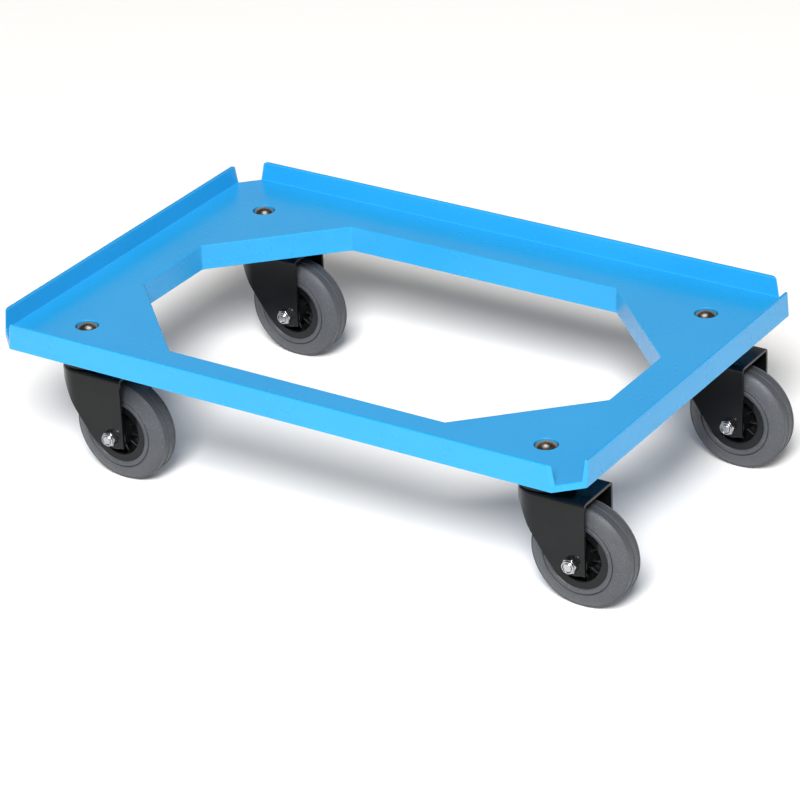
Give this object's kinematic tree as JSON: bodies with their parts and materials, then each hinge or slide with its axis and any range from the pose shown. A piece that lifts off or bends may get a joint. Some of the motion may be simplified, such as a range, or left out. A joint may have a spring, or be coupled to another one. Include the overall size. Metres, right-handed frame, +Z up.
{
  "type": "crate dolly",
  "caption": "Open-frame crate dolly: a one-piece moulded tray with cut corners and a large central opening, on swivel castors with solid rubber tyres.",
  "frame": {"origin": "on the floor, under the middle of the frame's deck", "axes": "+Z up, +X along the long side, -Y towards the front; at rest all castors trail towards +X"},
  "size_m": [0.6435, 0.42, 0.166],
  "materials": {
    "frame_plastic": "semi-gloss moulded ABS, sky blue",
    "bolt_steel": "bright steel, domed head",
    "zinc_steel": "bright zinc plate",
    "bearing_steel": "polished",
    "black_coated_steel": "black powder coat, satin",
    "wheel_plastic": "black moulded polypropylene",
    "cage_plastic": "moulded, unpainted",
    "grey_rubber": "solid grey rubber, satin"
  },
  "bodies": {
    "frame": {"deck_frame": "frame_plastic", "mounting_bolts": "bolt_steel", "mounting_washers": "zinc_steel", "mounting_nuts": "zinc_steel", "race_cup_front_left": "black_coated_steel", "king_sleeve_front_left": "zinc_steel", "lower_race_front_left": "zinc_steel", "race_cup_front_right": "black_coated_steel", "king_sleeve_front_right": "zinc_steel", "lower_race_front_right": "zinc_steel", "race_cup_back_left": "black_coated_steel", "king_sleeve_back_left": "zinc_steel", "lower_race_back_left": "zinc_steel", "race_cup_back_right": "black_coated_steel", "king_sleeve_back_right": "zinc_steel", "lower_race_back_right": "zinc_steel"},
    "swivel_front_left": {"fork_front_left": "black_coated_steel", "upper_balls_front_left": "bearing_steel", "lower_balls_front_left": "bearing_steel", "axle_bolt_front_left": "zinc_steel", "axle_nut_front_left": "zinc_steel", "axle_sleeve_front_left": "zinc_steel"},
    "wheel_front_left": {"wheel_rim_front_left": "wheel_plastic", "tyre_front_left": "grey_rubber", "roller_cage_front_left": "cage_plastic", "rollers_front_left": "bearing_steel"},
    "swivel_front_right": {"fork_front_right": "black_coated_steel", "upper_balls_front_right": "bearing_steel", "lower_balls_front_right": "bearing_steel", "axle_bolt_front_right": "zinc_steel", "axle_nut_front_right": "zinc_steel", "axle_sleeve_front_right": "zinc_steel"},
    "wheel_front_right": {"wheel_rim_front_right": "wheel_plastic", "tyre_front_right": "grey_rubber", "roller_cage_front_right": "cage_plastic", "rollers_front_right": "bearing_steel"},
    "swivel_back_left": {"fork_back_left": "black_coated_steel", "upper_balls_back_left": "bearing_steel", "lower_balls_back_left": "bearing_steel", "axle_bolt_back_left": "zinc_steel", "axle_nut_back_left": "zinc_steel", "axle_sleeve_back_left": "zinc_steel"},
    "wheel_back_left": {"wheel_rim_back_left": "wheel_plastic", "tyre_back_left": "grey_rubber", "roller_cage_back_left": "cage_plastic", "rollers_back_left": "bearing_steel"},
    "swivel_back_right": {"fork_back_right": "black_coated_steel", "upper_balls_back_right": "bearing_steel", "lower_balls_back_right": "bearing_steel", "axle_bolt_back_right": "zinc_steel", "axle_nut_back_right": "zinc_steel", "axle_sleeve_back_right": "zinc_steel"},
    "wheel_back_right": {"wheel_rim_back_right": "wheel_plastic", "tyre_back_right": "grey_rubber", "roller_cage_back_right": "cage_plastic", "rollers_back_right": "bearing_steel"}
  },
  "joints": [
    {"name": "swivel_front_left", "type": "hinge", "parent": "frame", "child": "swivel_front_left", "pos_m": [-0.246, -0.146, 0.112], "axis": [0, 0, 1], "continuous": true},
    {"name": "wheel_spin_front_left", "type": "hinge", "parent": "swivel_front_left", "child": "wheel_front_left", "pos_m": [-0.2085, -0.146, 0.05], "axis": [0, 1, 0], "continuous": true},
    {"name": "swivel_front_right", "type": "hinge", "parent": "frame", "child": "swivel_front_right", "pos_m": [0.246, -0.146, 0.112], "axis": [0, 0, 1], "continuous": true},
    {"name": "wheel_spin_front_right", "type": "hinge", "parent": "swivel_front_right", "child": "wheel_front_right", "pos_m": [0.2835, -0.146, 0.05], "axis": [0, 1, 0], "continuous": true},
    {"name": "swivel_back_left", "type": "hinge", "parent": "frame", "child": "swivel_back_left", "pos_m": [-0.246, 0.146, 0.112], "axis": [0, 0, 1], "continuous": true},
    {"name": "wheel_spin_back_left", "type": "hinge", "parent": "swivel_back_left", "child": "wheel_back_left", "pos_m": [-0.2085, 0.146, 0.05], "axis": [0, 1, 0], "continuous": true},
    {"name": "swivel_back_right", "type": "hinge", "parent": "frame", "child": "swivel_back_right", "pos_m": [0.246, 0.146, 0.112], "axis": [0, 0, 1], "continuous": true},
    {"name": "wheel_spin_back_right", "type": "hinge", "parent": "swivel_back_right", "child": "wheel_back_right", "pos_m": [0.2835, 0.146, 0.05], "axis": [0, 1, 0], "continuous": true}
  ]
}
